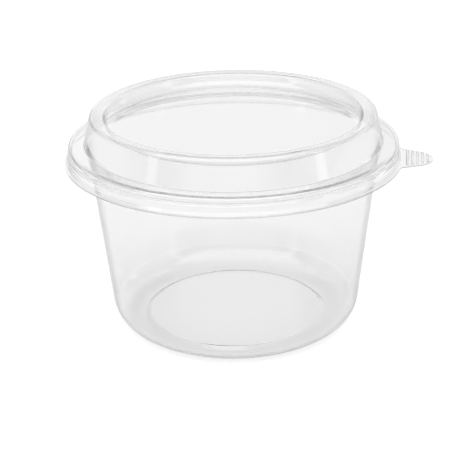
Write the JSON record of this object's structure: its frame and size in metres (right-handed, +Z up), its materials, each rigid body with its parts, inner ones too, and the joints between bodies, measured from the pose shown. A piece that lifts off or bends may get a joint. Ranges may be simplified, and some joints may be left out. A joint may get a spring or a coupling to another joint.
{
  "type": "plastic dessert cup with lid",
  "caption": "Clear thin-walled tapered cup with a flanged rim, closed by a clear lid that clicks over the rim, with a raised stacking ring, a sunken panel and a ribbed pull tab.",
  "frame": {"origin": "centre of the cup's foot ring, on the table", "axes": "+Z up along the cup's axis, out of its mouth; +X towards the lid's pull tab"},
  "size_m": [0.1281, 0.118, 0.0772],
  "materials": {
    "cup": "clear, high gloss",
    "lid": "clear, high gloss"
  },
  "bodies": {
    "cup": {"cup": "cup"},
    "lid": {"lid": "lid"}
  },
  "joints": [
    {"name": "lid_lift", "type": "slide", "parent": "cup", "child": "lid", "axis": [0, 0, 1], "range_m": [0, 0.05]}
  ]
}
